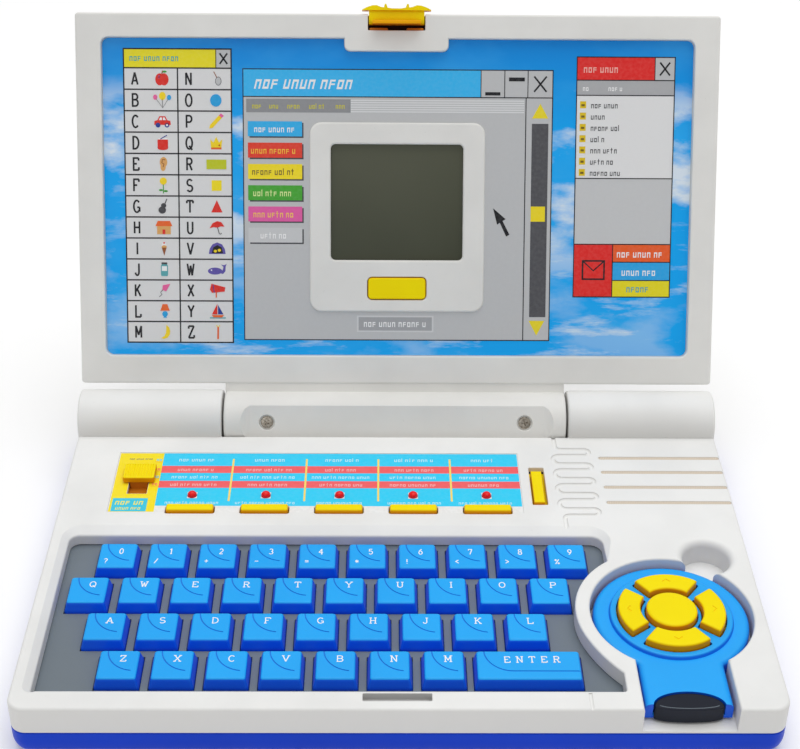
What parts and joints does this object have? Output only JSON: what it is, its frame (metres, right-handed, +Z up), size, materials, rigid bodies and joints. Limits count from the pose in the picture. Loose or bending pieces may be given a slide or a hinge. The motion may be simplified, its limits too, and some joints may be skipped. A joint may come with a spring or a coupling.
{
  "type": "toy laptop computer",
  "caption": "Toy laptop with a tilting lid and small display, letter keyboard, activity buttons, sliders and a lift-out mouse with a direction pad.",
  "frame": {"origin": "middle of the flat underside of the base", "axes": "+X to the user's right along the hinge, +Y to the rear, +Z up; the user is at -Y"},
  "size_m": [0.27, 0.2571, 0.1806],
  "materials": {
    "case_white": "satin moulded ABS, near white",
    "lid_grey": "satin moulded ABS, light warm grey",
    "case_blue": "satin moulded ABS, royal blue",
    "plate_grey": "matt moulded ABS, slate grey",
    "key_blue": "moulded ABS, azure, satin",
    "control_yellow": "moulded ABS, bright yellow, satin",
    "mouse_blue": "moulded ABS, azure, satin",
    "mouse_black": "moulded ABS, blue-black",
    "board_green": "circuit board with solder mask and red indicator lamps",
    "display_glass": "reflective dark olive-grey liquid crystal display",
    "speaker_black": "small paper-cone speaker in a steel basket",
    "collar_rubber": "silicone rubber"
  },
  "bodies": {
    "base": {"base_top_case": "case_white", "base_bottom_case": "case_blue", "key_plate": "plate_grey", "main_board": "board_green", "speaker": "speaker_black"},
    "lid": {"lid_front": "lid_grey", "lid_back_cover": "lid_grey", "lcd_module": "display_glass"},
    "mouse": {"mouse_top_shell": "mouse_blue", "mouse_bottom_shell": "mouse_black"},
    "latch": {"latch": "control_yellow"},
    "play_select_slider": {"play_select_slider": "control_yellow"},
    "volume_slider": {"volume_slider": "control_yellow"},
    "battery_door": {"battery_door": "case_blue"},
    "mouse_pad_collar": {"mouse_pad_collar": "collar_rubber"},
    "mouse_direction_pad": {"mouse_direction_pad": "control_yellow"},
    "mouse_select_button": {"mouse_select_button": "control_yellow"},
    "contrast_button": {"contrast_button": "control_yellow"},
    "function_button_1": {"function_button_1": "control_yellow"},
    "function_button_2": {"function_button_2": "control_yellow"},
    "function_button_3": {"function_button_3": "control_yellow"},
    "function_button_4": {"function_button_4": "control_yellow"},
    "function_button_5": {"function_button_5": "control_yellow"},
    "key_0": {"key_0": "key_blue"},
    "key_1": {"key_1": "key_blue"},
    "key_2": {"key_2": "key_blue"},
    "key_3": {"key_3": "key_blue"},
    "key_4": {"key_4": "key_blue"},
    "key_5": {"key_5": "key_blue"},
    "key_6": {"key_6": "key_blue"},
    "key_7": {"key_7": "key_blue"},
    "key_8": {"key_8": "key_blue"},
    "key_9": {"key_9": "key_blue"},
    "key_Q": {"key_Q": "key_blue"},
    "key_W": {"key_W": "key_blue"},
    "key_E": {"key_E": "key_blue"},
    "key_R": {"key_R": "key_blue"},
    "key_T": {"key_T": "key_blue"},
    "key_Y": {"key_Y": "key_blue"},
    "key_U": {"key_U": "key_blue"},
    "key_I": {"key_I": "key_blue"},
    "key_O": {"key_O": "key_blue"},
    "key_P": {"key_P": "key_blue"},
    "key_A": {"key_A": "key_blue"},
    "key_S": {"key_S": "key_blue"},
    "key_D": {"key_D": "key_blue"},
    "key_F": {"key_F": "key_blue"},
    "key_G": {"key_G": "key_blue"},
    "key_H": {"key_H": "key_blue"},
    "key_J": {"key_J": "key_blue"},
    "key_K": {"key_K": "key_blue"},
    "key_L": {"key_L": "key_blue"},
    "key_Z": {"key_Z": "key_blue"},
    "key_X": {"key_X": "key_blue"},
    "key_C": {"key_C": "key_blue"},
    "key_V": {"key_V": "key_blue"},
    "key_B": {"key_B": "key_blue"},
    "key_N": {"key_N": "key_blue"},
    "key_M": {"key_M": "key_blue"},
    "key_enter": {"key_enter": "key_blue"}
  },
  "joints": [
    {"name": "lid_hinge", "type": "hinge", "parent": "base", "child": "lid", "pos_m": [0, 0.0797, 0.0225], "axis": [1, 0, 0], "range_deg": [-9, 116.1]},
    {"name": "mouse_lift_out", "type": "slide", "parent": "base", "child": "mouse", "axis": [0, 0, -1], "range_m": [-0.06, 0]},
    {"name": "latch_press", "type": "slide", "parent": "lid", "child": "latch", "axis": [0, 0.4399, 0.898], "range_m": [-0.0012, 0], "stiffness_N_per_m": 400, "springref_m": 0.001},
    {"name": "play_select_slide", "type": "slide", "parent": "base", "child": "play_select_slider", "axis": [0, -1, 0], "range_m": [0, 0.0048]},
    {"name": "volume_slide", "type": "slide", "parent": "base", "child": "volume_slider", "axis": [0, 1, 0], "range_m": [0, 0.003]},
    {"name": "mouse_pad_tilt_front_back", "type": "hinge", "parent": "mouse", "child": "mouse_pad_collar", "pos_m": [0.1005, -0.0423, 0.0195], "axis": [1, 0, 0], "range_deg": [-3, 3], "stiffness_Nm_per_rad": 0.25},
    {"name": "mouse_pad_tilt_sideways", "type": "hinge", "parent": "mouse_pad_collar", "child": "mouse_direction_pad", "pos_m": [0.1005, -0.0423, 0.0195], "axis": [0, 1, 0], "range_deg": [-3, 3], "stiffness_Nm_per_rad": 0.25},
    {"name": "mouse_select_press", "type": "slide", "parent": "mouse", "child": "mouse_select_button", "axis": [0, 0, -1], "range_m": [0, 0.0012], "stiffness_N_per_m": 300, "springref_m": -0.001},
    {"name": "contrast_press", "type": "slide", "parent": "lid", "child": "contrast_button", "axis": [0, 0.898, -0.4399], "range_m": [0, 0.001], "stiffness_N_per_m": 300, "springref_m": -0.001},
    {"name": "battery_door_off", "type": "slide", "parent": "base", "child": "battery_door", "axis": [0, 0, 1], "range_m": [-0.03, 0]},
    {"name": "function_press_1", "type": "slide", "parent": "base", "child": "function_button_1", "axis": [0, 0, -1], "range_m": [0, 0.0012], "stiffness_N_per_m": 300, "springref_m": -0.001},
    {"name": "function_press_2", "type": "slide", "parent": "base", "child": "function_button_2", "axis": [0, 0, -1], "range_m": [0, 0.0012], "stiffness_N_per_m": 300, "springref_m": -0.001},
    {"name": "function_press_3", "type": "slide", "parent": "base", "child": "function_button_3", "axis": [0, 0, -1], "range_m": [0, 0.0012], "stiffness_N_per_m": 300, "springref_m": -0.001},
    {"name": "function_press_4", "type": "slide", "parent": "base", "child": "function_button_4", "axis": [0, 0, -1], "range_m": [0, 0.0012], "stiffness_N_per_m": 300, "springref_m": -0.001},
    {"name": "function_press_5", "type": "slide", "parent": "base", "child": "function_button_5", "axis": [0, 0, -1], "range_m": [0, 0.0012], "stiffness_N_per_m": 300, "springref_m": -0.001},
    {"name": "key_0_press", "type": "slide", "parent": "base", "child": "key_0", "axis": [0, 0, -1], "range_m": [0, 0.0016], "stiffness_N_per_m": 250, "springref_m": -0.001},
    {"name": "key_1_press", "type": "slide", "parent": "base", "child": "key_1", "axis": [0, 0, -1], "range_m": [0, 0.0016], "stiffness_N_per_m": 250, "springref_m": -0.001},
    {"name": "key_2_press", "type": "slide", "parent": "base", "child": "key_2", "axis": [0, 0, -1], "range_m": [0, 0.0016], "stiffness_N_per_m": 250, "springref_m": -0.001},
    {"name": "key_3_press", "type": "slide", "parent": "base", "child": "key_3", "axis": [0, 0, -1], "range_m": [0, 0.0016], "stiffness_N_per_m": 250, "springref_m": -0.001},
    {"name": "key_4_press", "type": "slide", "parent": "base", "child": "key_4", "axis": [0, 0, -1], "range_m": [0, 0.0016], "stiffness_N_per_m": 250, "springref_m": -0.001},
    {"name": "key_5_press", "type": "slide", "parent": "base", "child": "key_5", "axis": [0, 0, -1], "range_m": [0, 0.0016], "stiffness_N_per_m": 250, "springref_m": -0.001},
    {"name": "key_6_press", "type": "slide", "parent": "base", "child": "key_6", "axis": [0, 0, -1], "range_m": [0, 0.0016], "stiffness_N_per_m": 250, "springref_m": -0.001},
    {"name": "key_7_press", "type": "slide", "parent": "base", "child": "key_7", "axis": [0, 0, -1], "range_m": [0, 0.0016], "stiffness_N_per_m": 250, "springref_m": -0.001},
    {"name": "key_8_press", "type": "slide", "parent": "base", "child": "key_8", "axis": [0, 0, -1], "range_m": [0, 0.0016], "stiffness_N_per_m": 250, "springref_m": -0.001},
    {"name": "key_9_press", "type": "slide", "parent": "base", "child": "key_9", "axis": [0, 0, -1], "range_m": [0, 0.0016], "stiffness_N_per_m": 250, "springref_m": -0.001},
    {"name": "key_Q_press", "type": "slide", "parent": "base", "child": "key_Q", "axis": [0, 0, -1], "range_m": [0, 0.0016], "stiffness_N_per_m": 250, "springref_m": -0.001},
    {"name": "key_W_press", "type": "slide", "parent": "base", "child": "key_W", "axis": [0, 0, -1], "range_m": [0, 0.0016], "stiffness_N_per_m": 250, "springref_m": -0.001},
    {"name": "key_E_press", "type": "slide", "parent": "base", "child": "key_E", "axis": [0, 0, -1], "range_m": [0, 0.0016], "stiffness_N_per_m": 250, "springref_m": -0.001},
    {"name": "key_R_press", "type": "slide", "parent": "base", "child": "key_R", "axis": [0, 0, -1], "range_m": [0, 0.0016], "stiffness_N_per_m": 250, "springref_m": -0.001},
    {"name": "key_T_press", "type": "slide", "parent": "base", "child": "key_T", "axis": [0, 0, -1], "range_m": [0, 0.0016], "stiffness_N_per_m": 250, "springref_m": -0.001},
    {"name": "key_Y_press", "type": "slide", "parent": "base", "child": "key_Y", "axis": [0, 0, -1], "range_m": [0, 0.0016], "stiffness_N_per_m": 250, "springref_m": -0.001},
    {"name": "key_U_press", "type": "slide", "parent": "base", "child": "key_U", "axis": [0, 0, -1], "range_m": [0, 0.0016], "stiffness_N_per_m": 250, "springref_m": -0.001},
    {"name": "key_I_press", "type": "slide", "parent": "base", "child": "key_I", "axis": [0, 0, -1], "range_m": [0, 0.0016], "stiffness_N_per_m": 250, "springref_m": -0.001},
    {"name": "key_O_press", "type": "slide", "parent": "base", "child": "key_O", "axis": [0, 0, -1], "range_m": [0, 0.0016], "stiffness_N_per_m": 250, "springref_m": -0.001},
    {"name": "key_P_press", "type": "slide", "parent": "base", "child": "key_P", "axis": [0, 0, -1], "range_m": [0, 0.0016], "stiffness_N_per_m": 250, "springref_m": -0.001},
    {"name": "key_A_press", "type": "slide", "parent": "base", "child": "key_A", "axis": [0, 0, -1], "range_m": [0, 0.0016], "stiffness_N_per_m": 250, "springref_m": -0.001},
    {"name": "key_S_press", "type": "slide", "parent": "base", "child": "key_S", "axis": [0, 0, -1], "range_m": [0, 0.0016], "stiffness_N_per_m": 250, "springref_m": -0.001},
    {"name": "key_D_press", "type": "slide", "parent": "base", "child": "key_D", "axis": [0, 0, -1], "range_m": [0, 0.0016], "stiffness_N_per_m": 250, "springref_m": -0.001},
    {"name": "key_F_press", "type": "slide", "parent": "base", "child": "key_F", "axis": [0, 0, -1], "range_m": [0, 0.0016], "stiffness_N_per_m": 250, "springref_m": -0.001},
    {"name": "key_G_press", "type": "slide", "parent": "base", "child": "key_G", "axis": [0, 0, -1], "range_m": [0, 0.0016], "stiffness_N_per_m": 250, "springref_m": -0.001},
    {"name": "key_H_press", "type": "slide", "parent": "base", "child": "key_H", "axis": [0, 0, -1], "range_m": [0, 0.0016], "stiffness_N_per_m": 250, "springref_m": -0.001},
    {"name": "key_J_press", "type": "slide", "parent": "base", "child": "key_J", "axis": [0, 0, -1], "range_m": [0, 0.0016], "stiffness_N_per_m": 250, "springref_m": -0.001},
    {"name": "key_K_press", "type": "slide", "parent": "base", "child": "key_K", "axis": [0, 0, -1], "range_m": [0, 0.0016], "stiffness_N_per_m": 250, "springref_m": -0.001},
    {"name": "key_L_press", "type": "slide", "parent": "base", "child": "key_L", "axis": [0, 0, -1], "range_m": [0, 0.0016], "stiffness_N_per_m": 250, "springref_m": -0.001},
    {"name": "key_Z_press", "type": "slide", "parent": "base", "child": "key_Z", "axis": [0, 0, -1], "range_m": [0, 0.0016], "stiffness_N_per_m": 250, "springref_m": -0.001},
    {"name": "key_X_press", "type": "slide", "parent": "base", "child": "key_X", "axis": [0, 0, -1], "range_m": [0, 0.0016], "stiffness_N_per_m": 250, "springref_m": -0.001},
    {"name": "key_C_press", "type": "slide", "parent": "base", "child": "key_C", "axis": [0, 0, -1], "range_m": [0, 0.0016], "stiffness_N_per_m": 250, "springref_m": -0.001},
    {"name": "key_V_press", "type": "slide", "parent": "base", "child": "key_V", "axis": [0, 0, -1], "range_m": [0, 0.0016], "stiffness_N_per_m": 250, "springref_m": -0.001},
    {"name": "key_B_press", "type": "slide", "parent": "base", "child": "key_B", "axis": [0, 0, -1], "range_m": [0, 0.0016], "stiffness_N_per_m": 250, "springref_m": -0.001},
    {"name": "key_N_press", "type": "slide", "parent": "base", "child": "key_N", "axis": [0, 0, -1], "range_m": [0, 0.0016], "stiffness_N_per_m": 250, "springref_m": -0.001},
    {"name": "key_M_press", "type": "slide", "parent": "base", "child": "key_M", "axis": [0, 0, -1], "range_m": [0, 0.0016], "stiffness_N_per_m": 250, "springref_m": -0.001},
    {"name": "key_enter_press", "type": "slide", "parent": "base", "child": "key_enter", "axis": [0, 0, -1], "range_m": [0, 0.0016], "stiffness_N_per_m": 250, "springref_m": -0.001}
  ]
}
